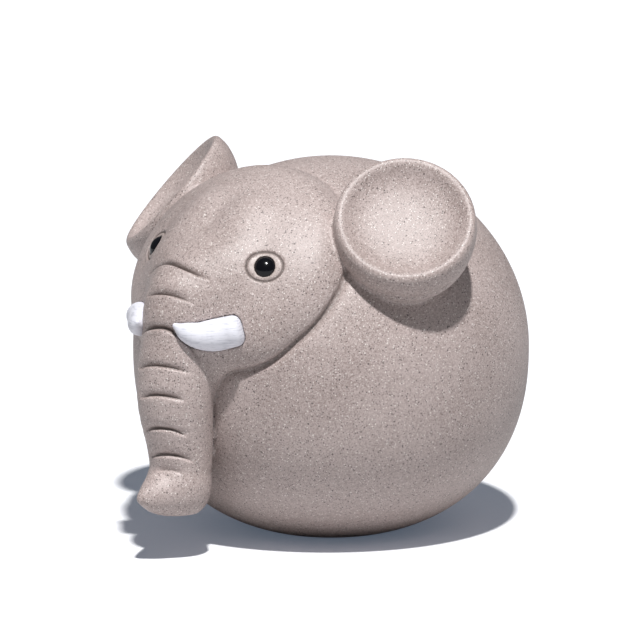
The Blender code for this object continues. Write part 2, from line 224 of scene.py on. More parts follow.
EAR_JOIN_SOFTNESS = 0.7


def run_together(a, b, softness):
    """The nearer of two distances, blended where they are within the softness."""
    share = np.clip(0.5 + 0.5 * (b - a) / softness, 0.0, 1.0)
    return b + (a - b) * share - softness * share * (1.0 - share)


def trimmed(a, b, softness):
    """The further of two distances, blended where they are within the softness."""
    return -run_together(-a, -b, softness)


def ball(points, centre, half_size):
    """Distance to an ellipsoid, near enough at its skin."""
    half_size = np.asarray(half_size, float)
    place = points - np.asarray(centre)
    near = np.linalg.norm(place / half_size, axis=1)
    steep = np.linalg.norm(place / half_size ** 2, axis=1)
    return near * (near - 1.0) / np.maximum(steep, 1e-9)


def body_form(points):
    """Distance to the round body, whose lower half is a little fuller than its upper half."""
    out = np.hypot(points[:, 0], points[:, 1])
    high = points[:, 2] - BODY_CENTRE_HEIGHT
    fullness = np.where(high < 0, BODY_FULLNESS["below"], BODY_FULLNESS["above"])
    size = (out / BODY_RADIUS) ** fullness + (np.abs(high) / BODY_HALF_HEIGHT) ** fullness
    return (size ** (1 / fullness) - 1.0) * BODY_HALF_HEIGHT


def smooth_line(line, steps):
    """More (point, radius) rows on a smooth curve through the ones that are given."""
    rows = np.array([[*place, radius] for place, radius in line])
    rows = np.vstack([2 * rows[0] - rows[1], rows, 2 * rows[-1] - rows[-2]])
    made = []
    for before, start, end, after in zip(rows, rows[1:], rows[2:], rows[3:]):
        for t in np.arange(steps) / steps:
            made.append(0.5 * (
                2 * start + (end - before) * t
                + (2 * before - 5 * start + 4 * end - after) * t ** 2
                + (3 * start - before - 3 * end + after) * t ** 3))
    return np.array(made + [rows[-2]])


def tube_form(points, rows):
    """Distance to a round tube along rows of point and radius."""
    nearest = np.full(len(points), 1e6)
    for start, end in zip(rows, rows[1:]):
        run = end[:3] - start[:3]
        share = np.clip((points - start[:3]) @ run / (run @ run), 0.0, 1.0)
        gap = np.linalg.norm(points - start[:3] - share[:, None] * run, axis=1)
        nearest = np.minimum(nearest, gap - start[3] - share * (end[3] - start[3]))
    return nearest


trunk_rows = smooth_line(TRUNK_LINE, TRUNK_STEPS)
muzzle_rows = smooth_line(MUZZLE_LINE, TRUNK_STEPS)


def trunk_form(points):
    """The trunk with the heel of its curled tip, cut off flat underneath."""
    heel_place, heel_radius = TRUNK_HEEL
    heel = np.linalg.norm(points - np.asarray(heel_place), axis=1) - heel_radius
    trunk = run_together(tube_form(points, trunk_rows), heel, TRUNK_HEEL_SOFTNESS)
    return trimmed(trunk, TRUNK_UNDERSIDE - points[:, 2], TRUNK_RIM_SOFTNESS)


def folded(points, middle=0.0):
    """The points of both sides brought onto one side of an upright middle plane."""
    return np.abs(points - (middle, 0, 0)) * (1, 0, 0) + points * (0, 1, 1)


def face_form(points):
    """The head's tilted dome, trimmed to an oval, with cheeks, muzzle and trunk."""
    along = np.array([0.0, math.sin(HEAD_TILT), math.cos(HEAD_TILT)])
    look = np.array([0.0, -math.cos(HEAD_TILT), math.sin(HEAD_TILT)])
    middle = np.array([HEAD_PLACE["aside"], 0.0, BODY_CENTRE_HEIGHT])
    middle += look * HEAD_PLACE["out"] + along * HEAD_PLACE["along"]
    place = points - middle
    local = np.stack([place[:, 0], place @ along, place @ look], axis=1)
    dome = (np.linalg.norm(local / np.array(DOME_HALF_SIZE), axis=1) - 1) * min(DOME_HALF_SIZE)
    oval = np.where(
        local[:, 1:2] < 0, HEAD_EDGE_HALF_SIZE["below"], HEAD_EDGE_HALF_SIZE["above"])
    drum = (np.linalg.norm(local[:, :2] / oval, axis=1) - 1) * oval[:, 1]
    head = trimmed(dome, drum, HEAD_EDGE_SOFTNESS)
    cheeks = ball(folded(points), CHEEK_CENTRE, CHEEK_HALF_SIZE)
    head = run_together(head, cheeks, CHEEK_SOFTNESS)
    muzzle = tube_form(folded(points, MUZZLE_ASIDE), muzzle_rows)
    head = run_together(head, muzzle, MUZZLE_SOFTNESS)
    return run_together(head, trunk_form(points), TRUNK_SOFTNESS)


def ear_axes(ear):
    """Across, up along the lip and out of the dish, as three rows."""
    rise, side = ear["rise"], ear["side"]
    out = np.array([
        side * math.sin(EAR_AZIMUTH) * math.cos(rise),
        -math.cos(EAR_AZIMUTH) * math.cos(rise),
        math.sin(rise),
    ])
    across = np.cross((0.0, 0.0, 1.0), out)
    across /= np.linalg.norm(across)
    return np.array([across, np.cross(out, across), out])


def ear_form(points, ear):
    """A bowl that sags towards the bottom, with a rounded lip and a shallow dish."""
    local = (points - np.asarray(ear["centre"])) @ ear_axes(ear).T
    high = local[:, 2]
    out = np.hypot(local[:, 0], local[:, 1] - EAR_SAG * high)
    deep = np.abs(high + EAR_LIP_DROP) / EAR_DEPTH
    size = ((out / ear["radius"]) ** EAR_FULLNESS + deep ** EAR_FULLNESS) ** (1 / EAR_FULLNESS)
    bowl = trimmed((size - 1) * EAR_DEPTH, high - EAR_LIP_RISE, EAR_LIP_SOFTNESS)
    mouth = ear["radius"] - EAR_LIP
    size = (out / mouth) ** EAR_DISH_FULLNESS + (np.abs(high) / EAR_DISH) ** EAR_DISH_FULLNESS
    dish = (size ** (1 / EAR_DISH_FULLNESS) - 1) * EAR_DISH
    return trimmed(bowl, -dish, EAR_LIP_SOFTNESS)


# A wooden tool was run round the join of the head. The narrow channel that it left is deepest
# by the cheeks. It grows faint behind the ears, and beside the trunk, where a thumb smoothed
# the join instead.
CHANNEL_DEPTH = 0.80
CHANNEL_HALF_WIDTH = 0.45
CHANNEL_FADES = ((33.0, 38.0), (50.0, 66.0))
CHANNEL_BY_TRUNK = 0.4
CHANNEL_LOST_BEHIND_EARS = 0.8
THUMBED_BETWEEN = (29.0, 38.0)


def rising(values, low, high):
    """0 below one value, 1 above another, and an even slope between them."""
    return np.clip((values - low) / (high - low), 0.0, 1.0)


def channel_share(points, body, face):
    """How much of the channel's depth is taken out, from the distances to body and face."""
    lower, upper = CHANNEL_FADES
    share = CHANNEL_BY_TRUNK + (1.0 - CHANNEL_BY_TRUNK) * rising(points[:, 2], *lower)
    share *= 1.0 - CHANNEL_LOST_BEHIND_EARS * rising(points[:, 2], *upper)
    return share * np.exp(-((body - face) / CHANNEL_HALF_WIDTH) ** 2)


def clay_form(points):
    """Distance in millimetres to the skin of the whole figure, before anything is pressed."""
    body, face = body_form(points), face_form(points)
    tooled = rising(points[:, 2], *THUMBED_BETWEEN)
    softness = TRUNK_JOIN_SOFTNESS + (HEAD_JOIN_SOFTNESS - TRUNK_JOIN_SOFTNESS) * tooled
    clay = run_together(body, face, softness)
    clay += CHANNEL_DEPTH * channel_share(points, body, face)
    for ear in EARS.values():
        clay = run_together(clay, ear_form(points, ear), EAR_JOIN_SOFTNESS)
    return clay


def slope_of(form, points, reach=0.02):
    """The direction in which a form's distance grows fastest."""
    slopes = []
    for axis in np.eye(3) * reach:
        slopes.append((form(points + axis) - form(points - axis)) / (2 * reach))
    return np.stack(slopes, axis=1)


def settled(form, points, rounds=4, furthest=0.6, flattest=0.05):
    """The points moved onto the skin of a form, no further than a limit in each round."""
    for _ in range(rounds):
        slope = slope_of(form, points)
        step = form(points) / np.maximum((slope ** 2).sum(axis=1), flattest)
        points = points - slope * np.clip(step, -furthest, furthest)[:, None]
    return points


def laid_skin(form, low, high, grain):
    """Vertices and four-sided faces of a form's skin: one vertex in each cell it crosses."""
    lines = [np.arange(start, end, grain) for start, end in zip(low, high)]
    grid = np.stack(np.meshgrid(*lines, indexing="ij"), axis=-1)
    inside = (form(grid.reshape(-1, 3)) < 0).reshape(grid.shape[:3])
    size = tuple(count - 1 for count in inside.shape)
    corners = sum(
        inside[i:i + size[0], j:j + size[1], k:k + size[2]].astype(int)
        for i in (0, 1) for j in (0, 1) for k in (0, 1))
    crossed = (corners > 0) & (corners < 8)
    number = np.full(size, -1)
    number[crossed] = np.arange(crossed.sum())
    vertices = (np.argwhere(crossed) + 0.5) * grain + np.asarray(low)
    faces = []
    for axis in range(3):
        second, third = (axis + 1) % 3, (axis + 2) % 3
        ahead = np.roll(inside, -1, axis)
        for entering in (True, False):
            edges = np.argwhere((inside != ahead) & (inside == entering))
            one, two = np.eye(3, dtype=int)[second], np.eye(3, dtype=int)[third]
            ring = [edges - one - two, edges - two, edges, edges - one]
            face = np.stack([number[tuple(cell.T)] for cell in ring], axis=1)
            faces.append(face if entering else face[:, ::-1])
    return vertices, np.vstack(faces)


def points_of(mesh):
    points = np.empty(3 * len(mesh.vertices))
    mesh.vertices.foreach_get("co", points)
    return points.reshape(-1, 3)


def move_points(mesh, points):
    mesh.vertices.foreach_set("co", points.ravel())
    mesh.update()


def mesh_of(name, vertices, faces):
    mesh = bpy.data.meshes.new(name)
    mesh.from_pydata(vertices.tolist(), [], faces.tolist())
    return mesh


def evened(mesh, form, rounds):
    """The skin with its vertices spread evenly and back on the form."""
    for _ in range(rounds):
        shape = bmesh.new()
        shape.from_mesh(mesh)
        bmesh.ops.smooth_vert(
            shape, verts=shape.verts, factor=0.5, use_axis_x=True, use_axis_y=True,
            use_axis_z=True)
        shape.to_mesh(mesh)
        shape.free()
        move_points(mesh, settled(form, points_of(mesh), rounds=2))


def made_finer(mesh, wanted):
    """Cut in half every edge whose two ends are wanted finer."""
    shape = bmesh.new()
    shape.from_mesh(mesh)
    edges = [
        edge for edge in shape.edges
        if wanted[edge.verts[0].index] and wanted[edge.verts[1].index]]
    bmesh.ops.subdivide_edges(shape, edges=edges, cuts=1, use_grid_fill=True)
    shape.to_mesh(mesh)
    shape.free()


def near_line(points, line, reach):
    """Which points lie within reach of any point of a line."""
    tree = KDTree(len(line))
    for index, place in enumerate(line):
        tree.insert(place, index)
    tree.balance()
    return np.array([tree.find(place)[2] < reach for place in points])


def met_from_outside(form, starts, ways, rounds=60, stride=0.8):
    """Where straight lines from outside first meet a form."""
    places = np.array(starts, float)
    for _ in range(rounds):
        places += ways * (stride * form(places))[:, None]
    return places


# The grain of the skin, and how close to the joins, the lips, the tusks and the pressed lines
# it is cut finer, once for each value. The skin next to the flat base keeps its own grain.
SKIN_LOW = (-47.0, -53.0, -3.0)
SKIN_HIGH = (47.0, 41.0, 77.0)
SKIN_GRAIN = 1.0
FINER_BY_JOIN = (2.0, 0.9)
FINER_BY_EAR = (1.2, 0.55)
FINER_BY_LIP = (2.4, 1.3)
FINER_BY_LINE = (3.0, 1.5, 0.7)
FINER_BY_TUSK = (1.6, 0.8)
FINER_ON_TRUNK = 0.5
SAME_GRAIN_BELOW = 1.0
BASE_RIM_BELOW = 0.01
LIP_POINTS = 200

# Wrinkles, each pressed across the trunk with the edge of a tool: height, the angle round the
# trunk of its middle and of half its length, how far its two ends droop, and its depth.
WRINKLES = (
    (55.7, math.radians(-8), math.radians(64), (4.0, 2.6), 1.15),
    (50.7, math.radians(8), math.radians(40), (1.6, 1.8), 0.80),
    (44.4, math.radians(12), math.radians(57), (2.7, 6.2), 1.05),
    (37.5, math.radians(14), math.radians(50), (1.7, 1.4), 0.80),
    (32.0, math.radians(19), math.radians(40), (1.2, 1.0), 0.90),
    (25.5, math.radians(20), math.radians(40), (0.9, 1.4), 0.85),
    (20.4, math.radians(24), math.radians(47), (1.1, 1.4), 0.80),
    (17.5, math.radians(23), math.radians(28), (0.3, 0.7), 0.40),
)
WRINKLE_POINTS = 121
WRINKLE_ABOVE = 0.68
WRINKLE_BELOW = 0.22
WRINKLE_SHARPNESS = 1.3
FAR_OUT = 60.0

# Fine marks: an oval scratched round each eye, which stands at this distance aside and this
# height, and arcs scratched round the lower wall of each ear, some way under its lip. The clay
# is rubbed smooth at the lips and in the ovals, and painted shade darkens the join of the head.
EYES = {"left": (14.1, 55.7), "right": (-14.0, 56.4)}
EYE_RING_HALF_SIZE = (3.45, 2.9)
EYE_RING_POINTS = 160
EYE_RING_DEPTH = 0.30
EYE_RING_SHOULDER = 0.26
LIP_BURNISH = 0.12
LIP_BURNISH_FADE = (0.7, 2.0)
EYE_BURNISH = 0.55
EYE_BURNISH_FADE = (0.75, 1.0)
# Painted shade along the join of the head: how strong it is, and the distances over which it fades.
CHANNEL_PAINTED_SHADE = 0.6
CHANNEL_PAINTED_SHADE_FADE = (1.5, 3.0)
ARC_DROPS = (5.6, 6.7)
ARC_HALF_ANGLE = 0.22
ARC_POINTS = 60
ARC_BITE = 0.35
ARC_DEPTH = 0.80
ARC_SHOULDER = 0.35
SCRATCH_SHARPNESS = 1.6

# Beds: a bead is sunk a little into the clay, and a tusk lies along a line of points and radii.
# The clay under them is pressed in until it clears them by the room they have.
BEAD_HALF_SIZE = (2.1, 2.1, 1.5)
BEAD_SINK = 0.65
BEAD_ROOM = 0.10

TUSK_LINES = {
    "left": (
        ((4.4, -46.5, 45.2), 0.5),
        ((5.2, -45.6, 44.4), 1.2),
        ((6.0, -44.7, 43.8), 1.9),
        ((7.3, -43.0, 43.2), 2.5),
        ((8.8, -40.9, 43.2), 3.0),
        ((10.6, -39.3, 43.7), 3.0),
        ((12.2, -38.4, 44.2), 2.9),
        ((13.4, -37.8, 44.6), 2.6),
    ),
    "right": (
        ((-5.0, -47.0, 44.6), 0.5),
        ((-5.8, -46.2, 44.0), 1.2),
        ((-6.7, -45.0, 43.7), 1.8),
        ((-7.9, -43.4, 43.6), 2.3),
        ((-9.3, -41.6, 43.8), 2.6),
        ((-11.0, -40.0, 44.0), 2.6),
        ((-12.6, -39.0, 44.1), 2.5),
        ((-13.8, -38.4, 44.2), 2.3),
    ),
}
TUSK_ROOT_SOFTNESS = 1.8
TUSK_STEPS = 3
TUSK_ROOM = 0.06


def wrinkle_line(height, middle, half_angle, droops, _):
    """Points of one wrinkle on the skin, from the elephant's right to its left."""
    share = np.linspace(-1.0, 1.0, WRINKLE_POINTS)
    angle = middle + share * half_angle
    outwards = np.stack([np.sin(angle), -np.cos(angle), 0 * angle], axis=1)
    knots = np.array([place for place, _ in reversed(TRUNK_LINE)])
    axis = np.array([0.0, np.interp(height, knots[:, 2], knots[:, 1]), height])
    starts = axis + outwards * FAR_OUT
    starts[:, 2] -= np.where(share < 0, *droops) * share ** 2
    return met_from_outside(clay_form, starts, -outwards)


def eye_place(across, height):
    """The middle of an eye on the skin, with its across, up and outward directions."""
    way = np.array([[0.0, 1.0, 0.0]])
    place = met_from_outside(clay_form, [[across, -FAR_OUT, height]], way)
    out = slope_of(clay_form, place)[0]
    out /= np.linalg.norm(out)
    side = np.cross((0.0, 0.0, 1.0), out)
    side /= np.linalg.norm(side)
    return place[0], np.array([side, np.cross(out, side), out])


def eye_ring(place, axes, half_size):
    """An oval round an eye, laid on the skin."""
    angle = np.linspace(0.0, math.tau, EYE_RING_POINTS, endpoint=False)
    half_width, half_height = half_size
    flat = np.stack([half_width * np.cos(angle), half_height * np.sin(angle)], axis=1)
    return settled(clay_form, place + flat @ axes[:2])


def wall_arc(ear, drop):
    """An arc scratched round the lower wall of an ear, some way under its lip."""
    angle = np.linspace(-0.5 - ARC_HALF_ANGLE, -0.5 + ARC_HALF_ANGLE, ARC_POINTS) * math.pi
    flat = ear["radius"] * np.stack([np.cos(angle), np.sin(angle), 0 * angle], axis=1)
    flat[:, 2] = -drop
    flat[:, 1] -= EAR_SAG * drop
    starts = np.asarray(ear["centre"]) + flat @ ear_axes(ear)
    return settled(lambda at: ear_form(at, ear), starts, rounds=8, furthest=1.5)


def bead_form(points, eye):
    """Distance to the bead of an eye, sunk into the clay."""
    place, axes = eye
    local = (points - place) @ axes.T
    return ball(local, (0.0, 0.0, -BEAD_SINK), BEAD_HALF_SIZE)


def tusk_form(points, rows):
    """A round tusk that is cut off flat at its root."""
    outwards = rows[-1, :3] - rows[-2, :3]
    outwards /= np.linalg.norm(outwards)
    root = (points - rows[-1, :3]) @ outwards
    return trimmed(tube_form(points, rows), root, TUSK_ROOT_SOFTNESS)


def pressed_under(points, outwards, form, room, step=0.05, steps=90):
    """Points that a hard thing covers are pushed into the clay until they clear it."""
    points = points.copy()
    covered = np.flatnonzero(form(points) < room)
    for _ in range(steps):
        covered = covered[form(points[covered]) < room]
        points[covered] -= step * outwards[covered]
    return points


wrinkle_lines = [wrinkle_line(*wrinkle) for wrinkle in WRINKLES]
eyes = {name: eye_place(*place) for name, place in EYES.items()}
eye_rings = [eye_ring(*eye, EYE_RING_HALF_SIZE) for eye in eyes.values()]
bead_rims = [eye_ring(*eye, BEAD_HALF_SIZE[:2]) for eye in eyes.values()]
wall_arcs = [wall_arc(ear, drop) for ear in EARS.values() for drop in ARC_DROPS]
tusks = {name: smooth_line(line, TUSK_STEPS) for name, line in TUSK_LINES.items()}
lips = []
for ear in EARS.values():
    angle = np.linspace(0.0, math.tau, LIP_POINTS, endpoint=False)
    radius = ear["radius"] - EAR_LIP / 2
    flat = radius * np.stack([np.cos(angle), np.sin(angle)], axis=1)
    lips.append(np.asarray(ear["centre"]) + flat @ ear_axes(ear)[:2])

skin = mesh_of("clay", *laid_skin(clay_form, SKIN_LOW, SKIN_HIGH, SKIN_GRAIN))
evened(skin, clay_form, rounds=4)
shape = bmesh.new()
shape.from_mesh(skin)
cut = bmesh.ops.bisect_plane(
    shape, geom=[*shape.verts, *shape.edges, *shape.faces], dist=1e-4, clear_inner=True,
    plane_co=(0.0, 0.0, 0.0), plane_no=(0.0, 0.0, 1.0))
rim = [item for item in cut["geom_cut"] if isinstance(item, bmesh.types.BMEdge)]
bmesh.ops.edgenet_fill(shape, edges=rim)
shape.to_mesh(skin)
shape.free()

all_lines = np.vstack([*wrinkle_lines, *eye_rings, *bead_rims, *wall_arcs])
all_lips = np.vstack(lips)
for level in range(3):
    points = points_of(skin)
    wanted = near_line(points, all_lines, FINER_BY_LINE[level])
    if level < len(FINER_BY_LIP):
        wanted |= near_line(points, all_lips, FINER_BY_LIP[level])
        for rows in tusks.values():
            wanted |= tusk_form(points, rows) < FINER_BY_TUSK[level]
    if level < len(FINER_BY_JOIN):
        body, face = body_form(points), face_form(points)
        wanted |= np.abs(body) + np.abs(face) < FINER_BY_JOIN[level]
        for ear in EARS.values():
            between = np.abs(np.minimum(body, face)) + np.abs(ear_form(points, ear))
            wanted |= between < FINER_BY_EAR[level]
        rim = np.abs(points[:, 2] - TRUNK_UNDERSIDE) + np.abs(tube_form(points, trunk_rows))
        wanted |= rim < FINER_BY_JOIN[level]
    if level == 0:
        wanted |= trunk_form(points) < FINER_ON_TRUNK
    wanted &= points[:, 2] > SAME_GRAIN_BELOW
    made_finer(skin, wanted)
    points = points_of(skin)
    free = points[:, 2] > BASE_RIM_BELOW
    points[free] = settled(clay_form, points[free], rounds=3)
    move_points(skin, points)

points = points_of(skin)
outwards = slope_of(clay_form, points)
outwards /= np.maximum(np.linalg.norm(outwards, axis=1), 1e-6)[:, None]
for eye in eyes.values():
    points = pressed_under(points, outwards, lambda at: bead_form(at, eye), BEAD_ROOM)
for rows in tusks.values():
    points = pressed_under(points, outwards, lambda at: tusk_form(at, rows), TUSK_ROOM)

body, face = body_form(points), face_form(points)
# Painted shade: the colour darkens along the channel round the head's join, where shade falls in
# the crease.
channel = CHANNEL_PAINTED_SHADE * channel_share(points, body, face)
channel *= 1.0 - rising(np.abs(body) + np.abs(face), *CHANNEL_PAINTED_SHADE_FADE)
burnish = np.zeros(len(points))
for ear in EARS.values():
    local = (points - np.asarray(ear["centre"])) @ ear_axes(ear).T
    out = np.hypot(local[:, 0], local[:, 1] - EAR_SAG * local[:, 2])
    from_lip = np.hypot(out - ear["radius"] + EAR_LIP / 2, local[:, 2])
    rubbed = LIP_BURNISH * (1.0 - rising(from_lip, *LIP_BURNISH_FADE))
    burnish = np.maximum(burnish, rubbed)
for place, axes in eyes.values():
    local = (points - place) @ axes.T
    out = np.linalg.norm(local[:, :2] / EYE_RING_HALF_SIZE, axis=1)
    near = np.linalg.norm(local, axis=1) < 2 * max(EYE_RING_HALF_SIZE)
    rubbed = EYE_BURNISH * near * (1.0 - rising(out, *EYE_BURNISH_FADE))
    burnish = np.maximum(burnish, rubbed)
for name, values in (("burnish", burnish), ("pressed", channel)):
    skin.attributes.new(name, "FLOAT", "POINT").data.foreach_set("value", values)
move_points(skin, points * MM)


def line_object(name, lines, bites, closed=False):
    """Loose lines for pressing, in metres, with how deep each point bites."""
    mesh = bpy.data.meshes.new(name)
    edges, start = [], 0
    for line in lines:
        edges += [(start + index, start + index + 1) for index in range(len(line) - 1)]
        if closed:
            edges.append((start + len(line) - 1, start))
        start += len(line)
    mesh.from_pydata((np.vstack(lines) * MM).tolist(), edges, [])
    bite = mesh.attributes.new("bite", "FLOAT", "POINT")
    bite.data.foreach_set("value", np.concatenate(bites))
    made = bpy.data.objects.new(name, mesh)
    scene.collection.objects.link(made)
    return made


def tree_inputs(tree, sockets):
    """Named inputs for a tree, with a geometry going in and one coming out."""
    tree.interface.new_socket("Geometry", in_out="OUTPUT", socket_type="NodeSocketGeometry")
    tree.interface.new_socket("Geometry", in_out="INPUT", socket_type="NodeSocketGeometry")
    for name, kind in sockets.items():
        tree.interface.new_socket(name, in_out="INPUT", socket_type=f"NodeSocket{kind}")


def pressing_tree():
    """Presses the lines of another object into a skin, with a shoulder above and below."""
    tree = bpy.data.node_groups.new("pressed lines", "GeometryNodeTree")
    tree_inputs(tree, {
        "Lines": "Object", "Depth": "Float", "Shoulder above": "Float",
        "Shoulder below": "Float", "Sharpness": "Float", "Clay": "Material"})
    add = node_maker(tree)
    given = add("NodeGroupInput").outputs
    lines = add("GeometryNodeObjectInfo", Object=given["Lines"]).outputs["Geometry"]
    nearest = add("GeometryNodeProximity", {"target_element": "EDGES"}, _0=lines)
    index = add("GeometryNodeSampleNearest", {"domain": "POINT"}, Geometry=lines)
    bite = add("GeometryNodeInputNamedAttribute", {"data_type": "FLOAT"}, Name="bite")
    deep = add("GeometryNodeSampleIndex", {"data_type": "FLOAT", "domain": "POINT"},
               Geometry=lines, Value=bite.outputs[0], Index=index.outputs[0])
    place = add("GeometryNodeInputPosition")
    away = add("ShaderNodeVectorMath", {"operation": "SUBTRACT"}, _0=place.outputs[0],
               _1=nearest.outputs["Position"])
    high = add("ShaderNodeSeparateXYZ", Vector=away.outputs[0])
    above = add("ShaderNodeMath", {"operation": "GREATER_THAN"}, _0=high.outputs["Z"], _1=0.0)
    shoulder = add("ShaderNodeMix", {"data_type": "FLOAT"}, _0=above.outputs[0],
                   _2=given["Shoulder below"], _3=given["Shoulder above"])
    share = add("ShaderNodeMath", {"operation": "DIVIDE"}, _0=nearest.outputs["Distance"],
                _1=shoulder.outputs[0])
    steep = add("ShaderNodeMath", {"operation": "POWER"}, _0=share.outputs[0],
                _1=given["Sharpness"])
    fall = add("ShaderNodeMath", {"operation": "MULTIPLY"}, _0=steep.outputs[0], _1=-1.0)
    fall = add("ShaderNodeMath", {"operation": "EXPONENT"}, _0=fall.outputs[0])
    fall = add("ShaderNodeMath", {"operation": "MULTIPLY"}, _0=fall.outputs[0],
               _1=deep.outputs[0])
    push = add("ShaderNodeMath", {"operation": "MULTIPLY"}, _0=fall.outputs[0],
               _1=given["Depth"])
    push = add("ShaderNodeMath", {"operation": "MULTIPLY"}, _0=push.outputs[0], _1=-1.0)
    outwards = add("GeometryNodeInputNormal")
    push = add("ShaderNodeVectorMath", {"operation": "SCALE"}, _0=outwards.outputs[0],
               Scale=push.outputs[0])
    before = add("GeometryNodeInputNamedAttribute", {"data_type": "FLOAT"}, Name="pressed")
    pressed = add("ShaderNodeMath", {"operation": "MAXIMUM"}, _0=before.outputs[0],
                  _1=fall.outputs[0])
    # The share of each press is kept on the skin, and the clay's colour paints shade into the lines
    # by it.
    skin = add("GeometryNodeStoreNamedAttribute", {"data_type": "FLOAT", "domain": "POINT"},
               Geometry=given["Geometry"], Name="pressed", Value=pressed.outputs[0])
    skin = add("GeometryNodeSetPosition", Geometry=skin.outputs[0], Offset=push.outputs[0])
    skin = add("GeometryNodeRealizeInstances", Geometry=skin.outputs[0])
    skin = add("GeometryNodeSetMaterial", Geometry=skin.outputs[0], Material=given["Clay"])
    add("NodeGroupOutput", Geometry=skin.outputs[0])
    return tree


def grow(target, tree, **values):
    """Runs a tree on an object and keeps the result as its plain mesh."""
    modifier = target.modifiers.new(tree.name, "NODES")
    modifier.node_group = tree
    for item in tree.interface.items_tree:
        if item.in_out == "INPUT" and item.name.replace(" ", "_") in values:
            modifier[item.identifier] = values[item.name.replace(" ", "_")]
    keep_result(target)


def keep_result(target):
    """The mesh that the object's modifiers give takes the place of its own."""
    bpy.context.view_layer.update()
    target.data = bpy.data.meshes.new_from_object(
        target.evaluated_get(bpy.context.evaluated_depsgraph_get()))
    target.modifiers.clear()


# Fired clay: warm taupe, full of dark and pale grog grains, with a sandy tooth everywhere
# but where it was burnished. Each kind of grain has its spacing and size in millimetres and
# the share of them that is kept.
CLAY_DEEP = (0.288, 0.223, 0.204)
CLAY_PALE = (0.548, 0.459, 0.440)
CLAY_DARK_GRAIN = (0.070, 0.055, 0.052)
CLAY_PALE_GRAIN = (0.90, 0.86, 0.82)
# The colour towards which painted shade darkens the pressed lines and the head's join.
CLAY_PAINTED_SHADE_IN_LINES = (0.085, 0.060, 0.050)
CLAY_BURNISHED = (0.43, 0.360, 0.325)
CLAY_GLOSS = 0.80
CLAY_ROUGHNESS = (0.40, 0.56)
FINE_NOISE = {"scale": 4.5, "detail": 3.0, "roughness": 0.7}
FINE_TO_TONE = (0.35, 1.10)
FINE_TO_ROUGHNESS = (0.4, 1.0)
RUBBED_SCALE = 0.05
RUBBED_RANGE = (0.35, 0.65)
DARK_GRAINS = (0.80, 0.21, 0.60)
DARK_SPECKS = (0.36, 0.145, 0.60)
PALE_GRAINS = (0.85, 0.18, 0.50)
PALE_SPECKS = (0.34, 0.13, 0.55)
GRAIN_EDGE = 0.10
GRAIN_COVER = 0.85
PALE_SPECK_COVER = 0.80
SAND_SPACING = {"tone": 0.22, "bump": 0.42}
SAND_SHARE = {"tone": 0.45, "bump": 0.3}
GRAIN_DENT = -0.6
GRAIN_RISE = 0.5
RUBBED_SHARE = 0.25
# How strongly painted shade darkens the pressed lines, and over what share of the press.
LINE_PAINTED_SHADE = 0.78
LINE_PAINTED_SHADE_RANGE = (0.12, 0.80)
BURNISHED_TOOTH = 0.25
BURNISHED_COVER = 0.7
BURNISHED_ROUGHNESS = 0.8
CLAY_BUMP = {"depth": 0.06, "strength": 0.7}

clay, shader, add = new_material("groggy fired clay")
link = clay.node_tree.links.new


def millimetres():
    """The place on the object, in millimetres."""
    metres = add("ShaderNodeTexCoord").outputs["Object"]
    return add("ShaderNodeVectorMath", {"operation": "SCALE"}, _0=metres, Scale=1 / MM).outputs[0]


def noise(scale, detail=2.0, roughness=0.5):
    return add("ShaderNodeTexNoise", Vector=place, Scale=scale, Detail=detail,
               Roughness=roughness).outputs[0]


def ramp(value, low, high, first=0.0, last=1.0):
    """A value brought from one range to another and held there."""
    return add("ShaderNodeMapRange", {"interpolation_type": "SMOOTHSTEP"}, Value=value,
               From_Min=low, From_Max=high, To_Min=first, To_Max=last).outputs[0]


def product(a, b):
    return add("ShaderNodeMath", {"operation": "MULTIPLY"}, _0=a, _1=b).outputs[0]


def total(a, b, share):
    """The first value and a share of the second."""
    return add("ShaderNodeMath", {"operation": "MULTIPLY_ADD"}, _0=b, _1=share, _2=a).outputs[0]


def over(colour, cover, share):
    """A colour laid over another where the share is high."""
    first = colour if isinstance(colour, bpy.types.NodeSocket) else (*colour, 1.0)
    return add("ShaderNodeMix", {"data_type": "RGBA"}, _0=share, _6=first,
               _7=(*cover, 1.0)).outputs[2]


def grains(spacing, size, kept):
    """Round grains about a spacing apart, a share of them kept, each with its own size."""
    cells = add("ShaderNodeTexVoronoi", {"feature": "F1"}, Vector=place, Scale=1 / spacing)
    chance = add("ShaderNodeSeparateColor", Color=cells.outputs["Color"])
    size = ramp(chance.outputs[0], 1.0 - kept, 1.0, 0.0, size / spacing)
    gap = add("ShaderNodeMath", {"operation": "SUBTRACT"}, _0=size,
              _1=cells.outputs["Distance"]).outputs[0]
    return ramp(gap, 0.0, GRAIN_EDGE)


def sand(spacing):
    """A tone of its own for each grain of sand."""
    cells = add("ShaderNodeTexVoronoi", {"feature": "F1"}, Vector=place, Scale=1 / spacing)
    return add("ShaderNodeSeparateColor", Color=cells.outputs["Color"]).outputs[1]


